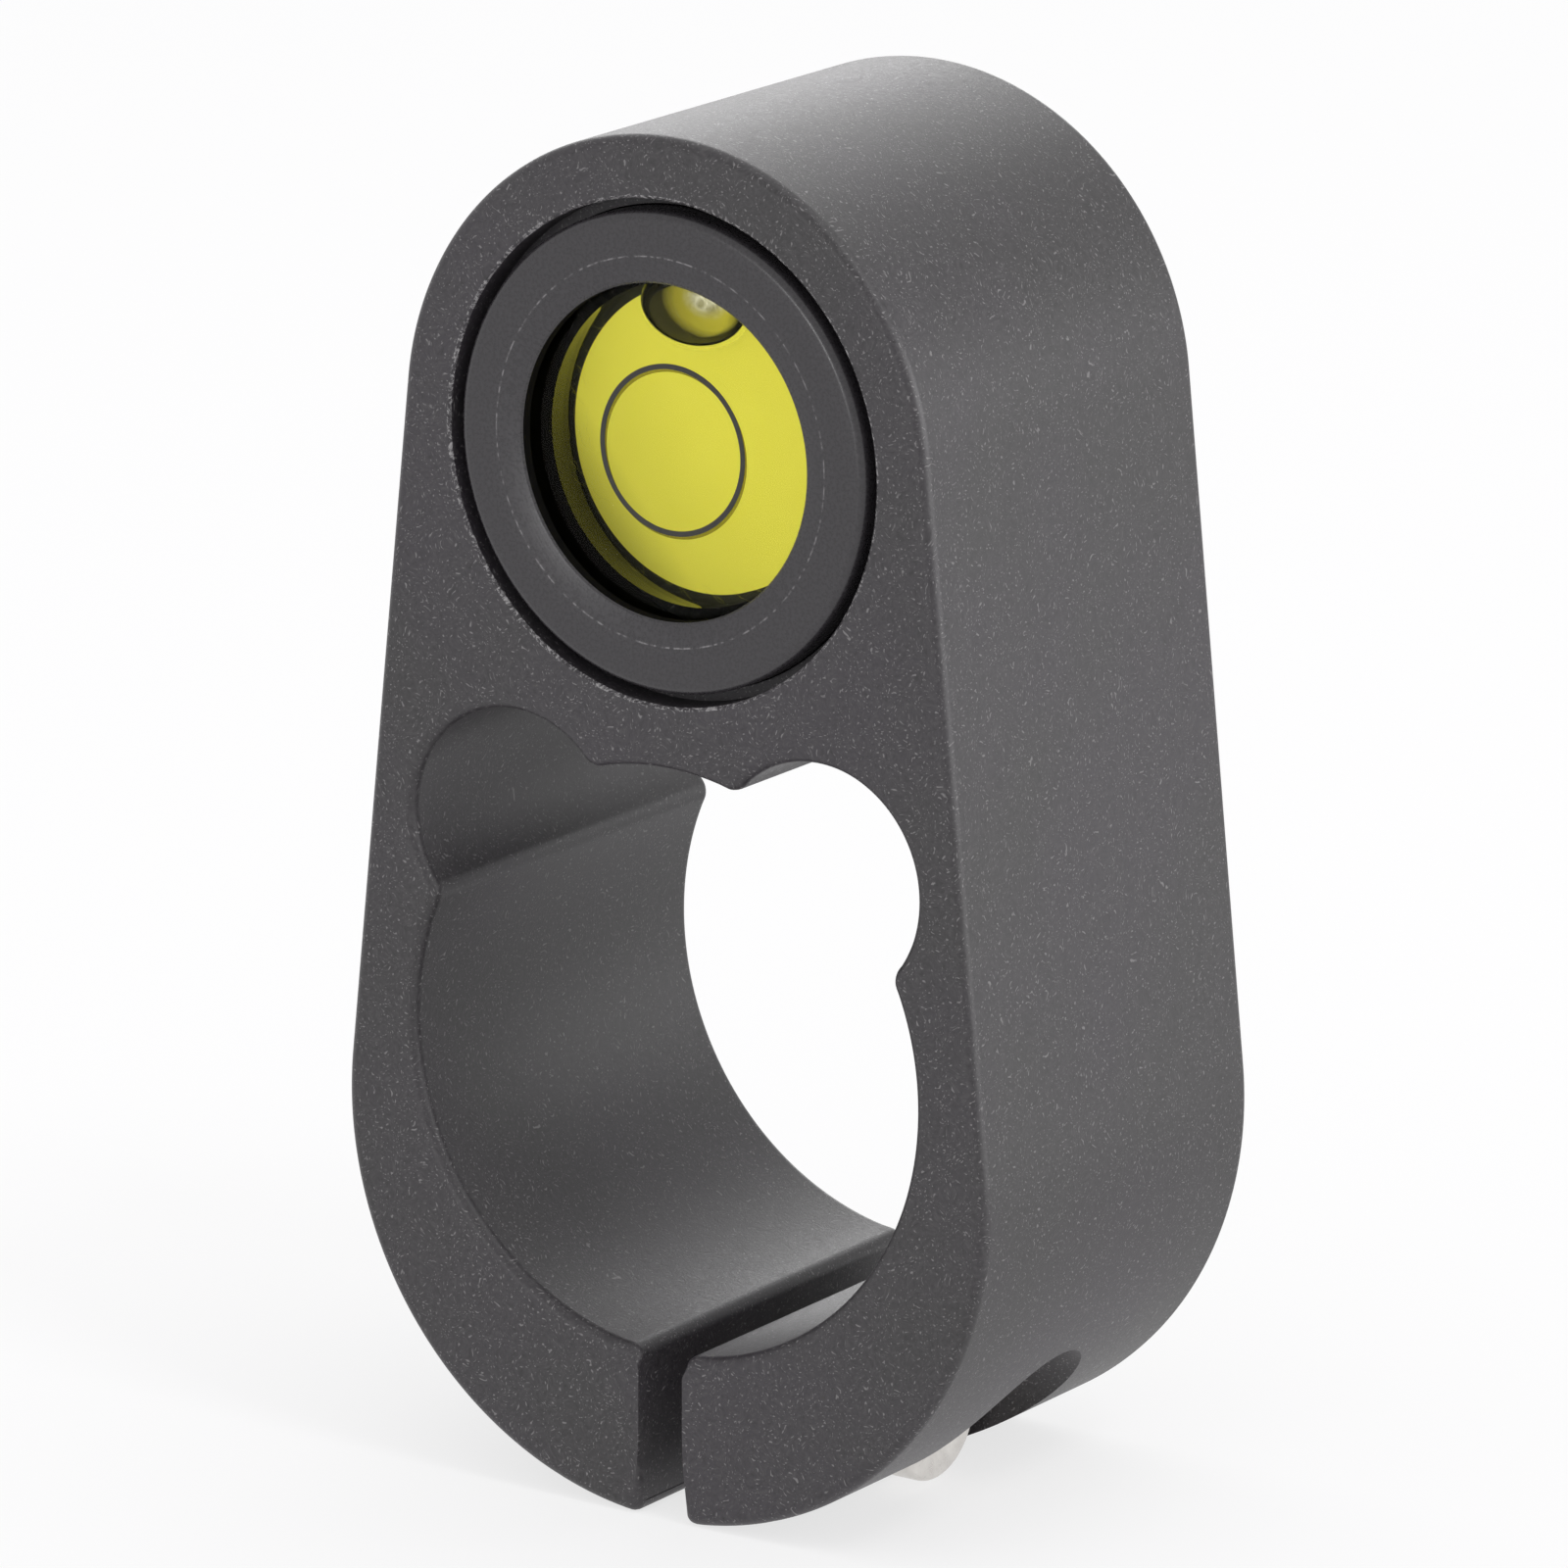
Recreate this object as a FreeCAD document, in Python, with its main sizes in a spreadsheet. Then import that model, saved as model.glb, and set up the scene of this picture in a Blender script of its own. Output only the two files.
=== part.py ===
import FreeCAD, Part
import Sketcher
import math
import os
import re

# Clamp-on bullseye level.
# A split clamp for a round tube carries a circular bubble level in a seat above the bore.
# Frame, in millimetres: the origin is on the bore's axis, halfway through the block.
# +Y runs along the bore from the level's face to the back, +Z points up to the level.

doc = FreeCAD.newDocument("clamp_level")
sheet = doc.addObject("Spreadsheet::Sheet", "sizes")

driving = [
    # clamp body
    ("block_depth", 20.0, "front face to back face"),
    ("bore_diameter", 25.0, "tube that the clamp closes on"),
    ("side_wall", 3.5, "foot radius less bore radius"),
    ("bridge", 2.7, "bore to the relief of the seat"),
    ("top_wall", 2.4, "wall beside the relief of the seat"),
    ("level_drop", 0.18, "level below the centre of the top arc"),
    ("lobe_radius", 5.0, "relief lobes that let the jaws flex"),
    ("lobe_reach", 4.1, "how far a lobe cuts past the bore"),
    ("lobe_angle", 40.3, "lobe from the upright, degrees"),
    ("ridge_radius", 0.7, "rounding where a lobe meets the bore"),
    ("slot_width", 2.2, "gap between the jaws"),
    ("jaw_radius", 0.55, "rounding of the corners of the jaws"),
    ("outer_chamfer", 0.35, "edge of the outline, front and back"),
    ("bore_chamfer", 0.4, "edge of bore and lobes, front and back"),
    # level
    ("vial_diameter", 20.0, "case of the level"),
    ("vial_height", 7.5, "case, front to back"),
    ("seat_clearance", 0.05, "case to seat, radial"),
    ("relief_gap", 0.5, "case to the relief round it, radial"),
    ("relief_depth", 1.5, "relief below the front face"),
    ("seat_edge", 0.1, "broken edge of the relief"),
    ("rim_chamfer", 0.3, "outer front edge of the case"),
    ("ring_width", 3.0, "ring from its outer edge to the window"),
    ("dish_width", 1.1, "inner part of the ring that falls towards the window"),
    ("dish_depth", 0.2, "fall of the ring at the window"),
    ("lip_depth", 0.9, "lip of the ring in front of the cup"),
    ("lip_undercut", 0.15, "bevel at the back of the lip"),
    ("case_wall", 1.55, "wall of the case round the cup"),
    ("cup_clearance", 0.05, "cup to case, radial"),
    ("cup_wall", 1.65, "wall of the clear cup round the liquid"),
    ("window_thickness", 1.8, "front of the cup at the edge of the liquid"),
    ("dome_rise", 0.25, "hollow of the inside of the window"),
    ("liquid_depth", 1.9, "liquid at its edge"),
    ("boss_step", 0.3, "raised face of the plug to the wall of the cup, radial"),
    ("boss_height", 0.5, "raised face over the plug"),
    ("bubble_width", 5.3, "bubble across"),
    ("bubble_height", 3.5, "bubble from top to bottom, were it whole"),
    ("bubble_thickness", 1.6, "bubble from front to back"),
    ("bubble_drop", 1.05, "middle of the bubble below the top of the liquid"),
    ("circle_diameter", 7.14, "printed circle, outside"),
    ("circle_line", 0.22, "width of the printed line"),
    ("circle_thickness", 0.03, "thickness of the print"),
    # screw
    ("screw_drop", 16.35, "axis of the screw below the bore's axis"),
    ("screw_cover", 3.45, "axis of the screw to the lowest point of the block"),
    ("screw_diameter", 3.0, "shank"),
    ("screw_length", 10.0, "under the head"),
    ("head_diameter", 6.0, "head"),
    ("head_height", 2.35, "head"),
    ("head_chamfer", 0.25, "outer edge of the head"),
    ("socket_width", 2.5, "hexagon across flats"),
    ("socket_depth", 1.3, "hexagon"),
    ("tip_chamfer", 0.4, "end of the shank"),
    ("head_clearance", 0.7, "head to counterbore, radial"),
    ("shank_clearance", 0.2, "shank to the hole in the right jaw, radial"),
    ("thread_clearance", 0.03, "shank to the hole in the left jaw, radial"),
    ("clamp_land", 3.7, "right jaw between slot and head"),
    ("thread_runout", 1.1, "hole past the end of the shank"),
    ("drill_angle", 118.0, "point of the drilled hole, degrees"),
]
for row, (alias, number, note) in enumerate(driving, start=1):
    sheet.set("A%d" % row, note)
    sheet.set("B%d" % row, repr(number))
    sheet.setAlias("B%d" % row, alias)
doc.recompute()

# Formulas that more than one piece uses, in the sheet's names
bore_radius = "bore_diameter / 2"
foot_radius = "(bore_diameter / 2 + side_wall)"
foot_drop = "(screw_drop + screw_cover - bore_diameter / 2 - side_wall)"
vial_radius = "(vial_diameter / 2)"
relief_radius = "(vial_diameter / 2 + relief_gap)"
top_radius = "(vial_diameter / 2 + relief_gap + top_wall)"
vial_rise = "(bore_diameter / 2 + bridge + vial_diameter / 2 + relief_gap)"
top_rise = "(bore_diameter / 2 + bridge + vial_diameter / 2 + relief_gap + level_drop)"
window_radius = "(vial_diameter / 2 - ring_width)"
case_bore = "(vial_diameter / 2 - case_wall)"
cup_radius = "(vial_diameter / 2 - case_wall - cup_clearance)"
cavity_radius = "(vial_diameter / 2 - case_wall - cup_clearance - cup_wall)"
boss_radius = "(vial_diameter / 2 - case_wall - cup_clearance - cup_wall - boss_step)"
dome_middle = "(lip_depth + window_thickness - dome_rise)"
window_back = "(lip_depth + window_thickness)"
base_face = "(lip_depth + window_thickness + liquid_depth)"
base_step = "(lip_depth + window_thickness + liquid_depth + boss_height)"
shank_radius = "(screw_diameter / 2)"
head_seat = "(slot_width / 2 + clamp_land)"
head_face = "(slot_width / 2 + clamp_land + head_height)"
shank_end = "(slot_width / 2 + clamp_land - screw_length)"
thread_end = "(slot_width / 2 + clamp_land - screw_length - thread_runout)"
thread_radius = "(screw_diameter / 2 + thread_clearance)"

aliases = {alias for alias, number, note in driving}
close = 1e-5


# A formula as the document reads it
def bound(formula):
    words = re.split(r"([a-z_]+)", formula)
    return "".join("sizes." + word if word in aliases else word for word in words)


def size(formula):
    return float(sheet.evalExpression(bound(formula)))


def new_body(label):
    body = doc.addObject("PartDesign::Body", label)
    body.Label = label
    return body


# A sketch on one of the body's own planes, shifted in that plane by formulas
def new_sketch(body, name, role, across="0", up="0", out="0"):
    sketch = body.newObject("Sketcher::SketchObject", name)
    sketch.AttachmentSupport = (next(o for o in body.Origin.OriginFeatures if o.Role == role), [""])
    sketch.MapMode = "FlatFace"
    for axis, formula in zip("xyz", (across, up, out)):
        if formula != "0":
            sketch.setExpression("AttachmentOffset.Base." + axis, bound(formula))
    return sketch


def dimension(sketch, kind, where, formula, name):
    number = sketch.addConstraint(Sketcher.Constraint(kind, *where, size(formula)))
    sketch.renameConstraint(number, name)
    sketch.setExpression("Constraints." + name, bound(formula))


# Places a sketch point by two formulas; zero puts it on the axis itself
def pin_point(sketch, side, end, across, up, name):
    for kind, formula, axis, word in (("DistanceX", across, -2, "across"), ("DistanceY", up, -1, "up")):
        if formula == "0":
            sketch.addConstraint(Sketcher.Constraint("PointOnObject", side, end, axis))
        else:
            dimension(sketch, kind, (-1, 1, side, end), formula, word + name)


def circle(sketch, across, up, radius):
    centre = FreeCAD.Vector(size(across), size(up), 0)
    side = sketch.addGeometry(Part.Circle(centre, FreeCAD.Vector(0, 0, 1), size(radius)), False)
    pin_point(sketch, side, 3, across, up, "_centre")
    dimension(sketch, "Radius", (side,), radius, "radius")


# A closed outline through corners given as formulas.
# The side that leaves corner number dome is an arc whose centre is on the sketch's horizontal axis.
def outline(sketch, places, dome=None):
    spots = [FreeCAD.Vector(size(across), size(up), 0) for across, up in places]
    ends = []
    for i, start in enumerate(spots):
        end = spots[(i + 1) % len(spots)]
        if i != dome:
            sketch.addGeometry(Part.LineSegment(start, end), False)
            ends.append((1, 2))
            continue
        middle = (start + end) / 2
        centre = FreeCAD.Vector(middle.x + middle.y * (end.y - start.y) / (end.x - start.x), 0, 0)
        turns = [math.atan2(spot.y, spot.x - centre.x) % (2 * math.pi) for spot in (start, end)]
        curve = Part.Circle(centre, FreeCAD.Vector(0, 0, 1), (start - centre).Length)
        sketch.addGeometry(Part.ArcOfCircle(curve, min(turns), max(turns)), False)
        sketch.addConstraint(Sketcher.Constraint("PointOnObject", i, 3, -1))
        ends.append((1, 2) if turns[0] < turns[1] else (2, 1))
    for i, (across, up) in enumerate(places):
        before = (i - 1) % len(places)
        sketch.addConstraint(Sketcher.Constraint("Coincident", before, ends[before][1], i, ends[i][0]))
        pin_point(sketch, i, ends[i][0], across, up, str(i))


# Adds a feature with fixed settings and sizes from formulas, and sees that it changes the solid
def add_feature(body, kind, name, formulas=None, **settings):
    doc.recompute()
    before = body.Shape.Volume if body.Tip else 0
    feature = body.newObject("PartDesign::" + kind, name)
    for key, value in settings.items():
        setattr(feature, key, value)
    for key, formula in (formulas or {}).items():
        feature.setExpression(key, bound(formula))
    body.Tip = feature
    doc.recompute()
    if abs(body.Shape.Volume - before) < close:
        raise RuntimeError(name + " changes nothing")
    return feature


def pad_through(body, sketch, name):
    add_feature(body, "Pad", name, {"Length": "block_depth"}, Profile=sketch, Midplane=True)


def pocket_through(body, sketch, name):
    return add_feature(body, "Pocket", name, Profile=sketch, Type="ThroughAll", Midplane=True)


def turn(body, kind, sketch, name):
    add_feature(body, kind, name, Profile=sketch, ReferenceAxis=(sketch, ["H_Axis"]), Angle=360.0)


# Rounds or bevels the tip's edges that pass the test
def dress(body, kind, name, formula, test):
    base = body.Tip
    names = ["Edge%d" % (i + 1) for i, edge in enumerate(base.Shape.Edges) if test(edge)]
    add_feature(body, kind, name, {"Radius" if kind == "Fillet" else "Size": formula}, Base=(base, names))


# Straight edges along Y
def runs_back(edge):
    ends = edge.Vertexes
    if len(ends) != 2 or edge.Curve.TypeId != "Part::GeomLine":
        return False
    run = ends[1].Point - ends[0].Point
    return math.hypot(run.x, run.z) < close


# Full circles of one radius whose centre is at one place along the axis
def is_ring(edge, radius, direction, place):
    if edge.Curve.TypeId != "Part::GeomCircle":
        return False
    centre = getattr(edge.Curve.Center, direction)
    return abs(edge.Curve.Radius - size(radius)) < close and abs(centre - size(place)) < close


# Both flat faces of the block, with the edges of the outline or of the hollow inside it
def rim_of_block(shape, outer):
    chosen = []
    for face in shape.Faces:
        if abs(abs(face.CenterOfMass.y) - size("block_depth / 2")) > close:
            continue
        for wire in face.Wires:
            if wire.isSame(face.OuterWire) == outer:
                chosen.extend(wire.Edges)
    return chosen


def is_among(edge, chosen):
    return any(edge.isSame(other) for other in chosen)


# The outline is the hull of a small top arc round the level and a wide foot arc round the bore.
def clamp_outline(body):
    sketch = new_sketch(body, "block_outline", "XZ_Plane")
    top, foot, rise, drop = size(top_radius), size(foot_radius), size(top_rise), size(foot_drop)
    lean = math.asin((foot - top) / (rise + drop))
    normal = FreeCAD.Vector(0, 0, 1)
    top_centre = FreeCAD.Vector(0, rise, 0)
    foot_centre = FreeCAD.Vector(0, -drop, 0)
    way = FreeCAD.Vector(math.cos(lean), math.sin(lean), 0)
    flip = FreeCAD.Vector(-way.x, way.y, 0)
    sketch.addGeometry(Part.ArcOfCircle(Part.Circle(top_centre, normal, top), lean, math.pi - lean), False)
    sketch.addGeometry(Part.LineSegment(top_centre + flip * top, foot_centre + flip * foot), False)
    foot_arc = Part.ArcOfCircle(Part.Circle(foot_centre, normal, foot), math.pi - lean, 2 * math.pi + lean)
    sketch.addGeometry(foot_arc, False)
    sketch.addGeometry(Part.LineSegment(foot_centre + way * foot, top_centre + way * top), False)
    for first, end, second, start in ((0, 2, 1, 1), (1, 2, 2, 1), (2, 2, 3, 1), (3, 2, 0, 1)):
        sketch.addConstraint(Sketcher.Constraint("Tangent", first, end, second, start))
    pin_point(sketch, 0, 3, "0", top_rise, "_top")
    pin_point(sketch, 2, 3, "0", "-" + foot_drop, "_foot")
    dimension(sketch, "Radius", (0,), top_radius, "top_radius")
    dimension(sketch, "Radius", (2,), foot_radius, "foot_radius")
    return sketch


def clamp_body():
    body = new_body("clamp_body")
    pad_through(body, clamp_outline(body), "block")
    bore = new_sketch(body, "bore_circle", "XZ_Plane")
    circle(bore, "0", "0", bore_radius)
    pocket_through(body, bore, "bore")
    lobe = new_sketch(body, "lobe_circle", "XZ_Plane")
    lobe_way = "(bore_diameter / 2 + lobe_reach - lobe_radius)"
    circle(lobe, lobe_way + " * sin(lobe_angle)", lobe_way + " * cos(lobe_angle)", "lobe_radius")
    lobe_cut = pocket_through(body, lobe, "lobe")
    middle = next(o for o in body.Origin.OriginFeatures if o.Role == "YZ_Plane")
    add_feature(body, "Mirrored", "other_lobe", Originals=[lobe_cut], MirrorPlane=(middle, [""]))
    dress(body, "Fillet", "ridges", "ridge_radius", runs_back_on_bore)
    outer = rim_of_block(body.Tip.Shape, True)
    dress(body, "Chamfer", "outline_edges", "outer_chamfer", lambda edge: is_among(edge, outer))
    inner = rim_of_block(body.Tip.Shape, False)
    dress(body, "Chamfer", "bore_edges", "bore_chamfer", lambda edge: is_among(edge, inner))

    slot = new_sketch(body, "slot_outline", "XZ_Plane")
    below = "-(screw_drop + 2 * screw_cover)"
    half = "slot_width / 2"
    outline(slot, [("-" + half, "0"), ("-" + half, below), (half, below), (half, "0")])
    pocket_through(body, slot, "slot")
    dress(body, "Fillet", "jaw_corners", "jaw_radius", runs_back_at_slot)

    seat = new_sketch(body, "seat_section", "YZ_Plane", "-block_depth / 2", vial_rise)
    seat_radius = "(vial_diameter / 2 + seat_clearance)"
    outline(seat, [
        ("0", "0"),
        ("0", relief_radius + " + seat_edge"),
        ("seat_edge", relief_radius),
        ("relief_depth", relief_radius),
        ("relief_depth", seat_radius),
        ("vial_height", seat_radius),
        ("vial_height", "0"),
    ])
    turn(body, "Groove", seat, "seat")

    # counterbore and clearance hole through the right jaw, threaded blind hole in the left one
    hole = new_sketch(body, "screw_hole_section", "XZ_Plane", "0", "-screw_drop")
    counterbore = "(head_diameter / 2 + head_clearance)"
    clearance = "(screw_diameter / 2 + shank_clearance)"
    outline(hole, [
        (foot_radius, "0"),
        (foot_radius, counterbore),
        (head_seat, counterbore),
        (head_seat, clearance),
        ("0", clearance),
        ("0", thread_radius),
        (thread_end, thread_radius),
        (thread_end + " - " + thread_radius + " / tan(drill_angle / 2)", "0"),
    ])
    turn(body, "Groove", hole, "screw_hole")
    return body


# The four ridges between the bore and the lobes
def runs_back_on_bore(edge):
    spot = edge.Vertexes[0].Point
    return runs_back(edge) and abs(math.hypot(spot.x, spot.z) - size(bore_radius)) < close


# The inner and outer corners of both jaws
def runs_back_at_slot(edge):
    spot = edge.Vertexes[0].Point
    return runs_back(edge) and abs(abs(spot.x) - size("slot_width / 2")) < close


# All pieces of the level are turned about one axis, from the front face backwards.
def level_sketch(body, name):
    return new_sketch(body, name, "YZ_Plane", "-block_depth / 2", vial_rise)


def vial_housing():
    body = new_body("vial_housing")
    section = level_sketch(body, "case_section")
    outline(section, [
        ("dish_depth", window_radius),
        ("0", window_radius + " + dish_width"),
        ("0", vial_radius),
        ("vial_height", vial_radius),
        ("vial_height", case_bore),
        ("lip_depth", case_bore),
        ("lip_depth", window_radius + " + lip_undercut"),
        ("lip_depth - lip_undercut", window_radius),
    ])
    turn(body, "Revolution", section, "case")
    dress(body, "Chamfer", "rim", "rim_chamfer",
          lambda edge: is_ring(edge, vial_radius, "y", "-block_depth / 2"))
    return body


# The window is flat outside and domed inside, so that the bubble seeks its middle.
def vial_capsule():
    body = new_body("vial_capsule")
    section = level_sketch(body, "cup_section")
    outline(section, [
        ("lip_depth", "0"),
        ("lip_depth", cup_radius),
        ("vial_height", cup_radius),
        ("vial_height", cavity_radius),
        (window_back, cavity_radius),
        (dome_middle, "0"),
    ], dome=4)
    turn(body, "Revolution", section, "cup")
    return body


def centre_circle():
    body = new_body("centre_circle")
    section = level_sketch(body, "print_section")
    outside = "circle_diameter / 2"
    outline(section, [
        ("lip_depth - circle_thickness", outside + " - circle_line"),
        ("lip_depth - circle_thickness", outside),
        ("lip_depth", outside),
        ("lip_depth", outside + " - circle_line"),
    ])
    turn(body, "Revolution", section, "print")
    return body


# The bubble is a hollow in the liquid. It stands at the top, because the level is on edge.
def vial_liquid():
    body = new_body("vial_liquid")
    section = level_sketch(body, "liquid_section")
    outline(section, [
        (window_back, cavity_radius),
        (dome_middle, "0"),
        (base_face, "0"),
        (base_face, boss_radius),
        (base_step, boss_radius),
        (base_step, cavity_radius),
    ], dome=0)
    turn(body, "Revolution", section, "liquid")
    front = next(o for o in body.Origin.OriginFeatures if o.Role == "XZ_Plane")
    bubble_sizes = {
        "AttachmentOffset.Base.y": vial_rise + " + " + cavity_radius + " - bubble_drop",
        "AttachmentOffset.Base.z": "block_depth / 2 - " + window_back + " - liquid_depth / 2",
        "Radius1": "bubble_thickness / 2",
        "Radius2": "bubble_width / 2",
        "Radius3": "bubble_height / 2",
    }
    add_feature(body, "SubtractiveEllipsoid", "bubble", bubble_sizes,
                AttachmentSupport=(front, [""]), MapMode="FlatFace")
    return body


def vial_base():
    body = new_body("vial_base")
    section = level_sketch(body, "plug_section")
    outline(section, [
        (base_face, "0"),
        (base_face, boss_radius),
        (base_step, boss_radius),
        (base_step, cavity_radius),
        ("vial_height", cavity_radius),
        ("vial_height", "0"),
    ])
    turn(body, "Revolution", section, "plug")
    return body


def clamp_screw():
    body = new_body("clamp_screw")
    section = new_sketch(body, "screw_section", "XZ_Plane", "0", "-screw_drop")
    outline(section, [
        (head_face, "0"),
        (head_face, "head_diameter / 2"),
        (head_seat, "head_diameter / 2"),
        (head_seat, shank_radius),
        (shank_end + " + tip_chamfer", shank_radius),
        (shank_end, shank_radius + " - tip_chamfer"),
        (shank_end, "0"),
    ])
    turn(body, "Revolution", section, "turned_screw")
    dress(body, "Chamfer", "head_edge", "head_chamfer",
          lambda edge: is_ring(edge, "head_diameter / 2", "x", head_face))
    socket = new_sketch(body, "socket_outline", "YZ_Plane", "0", "-screw_drop", head_face)
    flat = "socket_width / 2"
    corner = "socket_width / 2 * tan(30)"
    point = "socket_width / 2 / cos(30)"
    outline(socket, [
        (flat, "-" + corner),
        (flat, corner),
        ("0", point),
        ("-" + flat, corner),
        ("-" + flat, "-" + corner),
        ("0", "-" + point),
    ])
    add_feature(body, "Pocket", "socket", {"Length": "socket_depth"}, Profile=socket)
    return body


pieces = [
    clamp_body(),
    vial_housing(),
    vial_capsule(),
    centre_circle(),
    vial_liquid(),
    vial_base(),
    clamp_screw(),
]
doc.recompute()

for thing in doc.Objects:
    if {"Invalid", "Error"} & set(thing.State):
        raise RuntimeError(thing.Name + " did not build")
for piece in pieces:
    if piece.Shape.isNull() or not piece.Shape.isValid():
        raise RuntimeError(piece.Label + " is not a sound solid")

os.makedirs("parts", exist_ok=True)
for piece in pieces:
    piece.Shape.exportStep(os.path.join("parts", piece.Label + ".step"))
    print(piece.Label, round(piece.Shape.Volume, 2), "mm3")
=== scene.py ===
import math
import bpy
from mathutils import Matrix, Vector


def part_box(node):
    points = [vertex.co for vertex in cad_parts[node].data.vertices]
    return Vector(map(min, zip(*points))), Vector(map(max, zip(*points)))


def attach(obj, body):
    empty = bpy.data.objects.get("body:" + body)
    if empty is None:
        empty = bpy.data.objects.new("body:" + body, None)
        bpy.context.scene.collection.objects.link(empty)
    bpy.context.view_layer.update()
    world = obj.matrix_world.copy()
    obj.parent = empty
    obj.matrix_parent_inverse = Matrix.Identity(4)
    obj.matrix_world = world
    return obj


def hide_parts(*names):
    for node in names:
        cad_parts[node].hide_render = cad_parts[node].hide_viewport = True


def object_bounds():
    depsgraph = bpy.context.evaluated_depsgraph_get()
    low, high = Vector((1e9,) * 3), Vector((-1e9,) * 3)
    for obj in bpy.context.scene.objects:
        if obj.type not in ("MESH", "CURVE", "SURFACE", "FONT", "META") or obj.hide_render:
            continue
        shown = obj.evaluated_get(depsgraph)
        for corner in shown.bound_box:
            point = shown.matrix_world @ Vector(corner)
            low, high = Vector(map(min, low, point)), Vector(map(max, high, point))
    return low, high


# Bullseye level on a split clamp, dressed for a studio picture. The scene is in metres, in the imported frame.
# Sizes in the dictionaries are in millimetres and angles in degrees, unless a note says otherwise.
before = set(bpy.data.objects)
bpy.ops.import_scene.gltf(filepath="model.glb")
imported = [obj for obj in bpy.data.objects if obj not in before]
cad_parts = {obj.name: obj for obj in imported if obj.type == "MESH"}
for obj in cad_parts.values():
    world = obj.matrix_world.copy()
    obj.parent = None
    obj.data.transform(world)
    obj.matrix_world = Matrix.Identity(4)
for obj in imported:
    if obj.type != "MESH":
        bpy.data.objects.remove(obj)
cadLow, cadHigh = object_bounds()
millimetre = 0.001

scene = bpy.context.scene
scene.view_settings.view_transform = "Standard"
scene.view_settings.look = "None"
scene.view_settings.exposure = 0.0
scene.view_settings.gamma = 1.0

caseLow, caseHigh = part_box("vial_housing")
vialCentre = Vector((0.0, caseLow.y, (caseLow.z + caseHigh.z) / 2))    # front face, on the level's axis
screwLow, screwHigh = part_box("clamp_screw")
screwCentre = Vector((screwHigh.x, 0.0, (screwLow.z + screwHigh.z) / 2))    # outer face of the head
print("frame loaded")


def deselectAll():
    bpy.ops.object.select_all(action="DESELECT")


def useOnly(obj):
    deselectAll()
    obj.select_set(True)
    bpy.context.view_layer.objects.active = obj


def applyPlace(obj):
    useOnly(obj)
    bpy.ops.object.transform_apply(location=True, rotation=True, scale=True)


def editAll(obj):
    useOnly(obj)
    bpy.ops.object.mode_set(mode="EDIT")
    bpy.ops.mesh.select_all(action="SELECT")


def leaveEdit():
    bpy.ops.object.mode_set(mode="OBJECT")


# Leaves edit mode with every face pointing outwards
def leaveOutward():
    bpy.ops.mesh.select_all(action="SELECT")
    bpy.ops.mesh.normals_make_consistent(inside=False)
    leaveEdit()


# Joins what is selected to a piece
def joinInto(obj):
    obj.select_set(True)
    bpy.context.view_layer.objects.active = obj
    bpy.ops.object.join()


# Leaves the open edges of the active piece selected, in edit mode
def selectOpenEdges(useWire):
    bpy.ops.object.mode_set(mode="EDIT")
    bpy.ops.mesh.select_mode(type="EDGE")
    bpy.ops.mesh.select_all(action="DESELECT")
    bpy.ops.mesh.select_non_manifold(extend=False, use_wire=useWire, use_boundary=True, use_multi_face=False,
                                     use_non_contiguous=False, use_verts=False)


# Turns a profile of (radius, depth) in millimetres about an axis that runs along +Y or +X. A profile that
# starts on the axis starts as a disc, and one that ends there is closed. The reach for welding is in metres.
def turnProfile(name, stations, sides, centre, along="y", weldReach=1e-7):
    deselectAll()
    turned = (math.radians(90), 0, 0) if along == "y" else (0, math.radians(90), 0)
    way = Vector((0, 1, 0)) if along == "y" else Vector((1, 0, 0))
    firstRadius, firstDepth = stations[0]
    startsOnAxis = firstRadius == 0
    if startsOnAxis:
        firstRadius = stations[1][0]
    place = centre + way * firstDepth * millimetre
    bpy.ops.mesh.primitive_circle_add(vertices=sides, radius=firstRadius * millimetre, location=place,
                                      rotation=turned, fill_type="TRIFAN" if startsOnAxis else "NOTHING")
    obj = bpy.context.object
    obj.name = name
    applyPlace(obj)
    selectOpenEdges(useWire=True)
    previousRadius, previousDepth = firstRadius, firstDepth
    for radius, depth in stations[2 if startsOnAxis else 1:]:
        move = way * (depth - previousDepth) * millimetre
        bpy.ops.mesh.extrude_edges_move(TRANSFORM_OT_translate={"value": move})
        if radius == 0:
            bpy.ops.mesh.merge(type="CENTER")
            break
        grow = radius / previousRadius
        centreNow = centre + way * depth * millimetre
        bpy.ops.transform.resize(value=(grow, 1, grow) if along == "y" else (1, grow, grow),
                                 center_override=centreNow)
        previousRadius, previousDepth = radius, depth
    bpy.ops.mesh.select_all(action="SELECT")
    bpy.ops.mesh.remove_doubles(threshold=weldReach)
    leaveOutward()
    return obj


# Stations round the front edge of a turned piece, from its flat front to its side
def roundedRim(radius, rounding, steps):
    quarter = math.radians(90) / steps
    middle = radius - rounding
    return [(middle + rounding * math.sin(k * quarter), rounding - rounding * math.cos(k * quarter))
            for k in range(steps + 1)]


flatAngle = 0.3    # walls that bend by less than this are taken as one


# Takes out points doubled within a reach in metres, and points in the middle of straight edges
def cleanMesh(obj, reach=5e-6):
    editAll(obj)
    bpy.ops.mesh.remove_doubles(threshold=reach)
    bpy.ops.mesh.dissolve_limited(angle_limit=math.radians(flatAngle))
    leaveEdit()


def applyAll(obj):
    useOnly(obj)
    for modifier in list(obj.modifiers):
        bpy.ops.object.modifier_apply(modifier=modifier.name)


def combine(obj, tool, operation, clean=True):
    step = obj.modifiers.new(operation.lower(), "BOOLEAN")
    step.operation = operation
    step.solver = "EXACT"
    step.object = tool
    applyAll(obj)
    bpy.data.objects.remove(tool)
    if clean:
        cleanMesh(obj)


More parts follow.
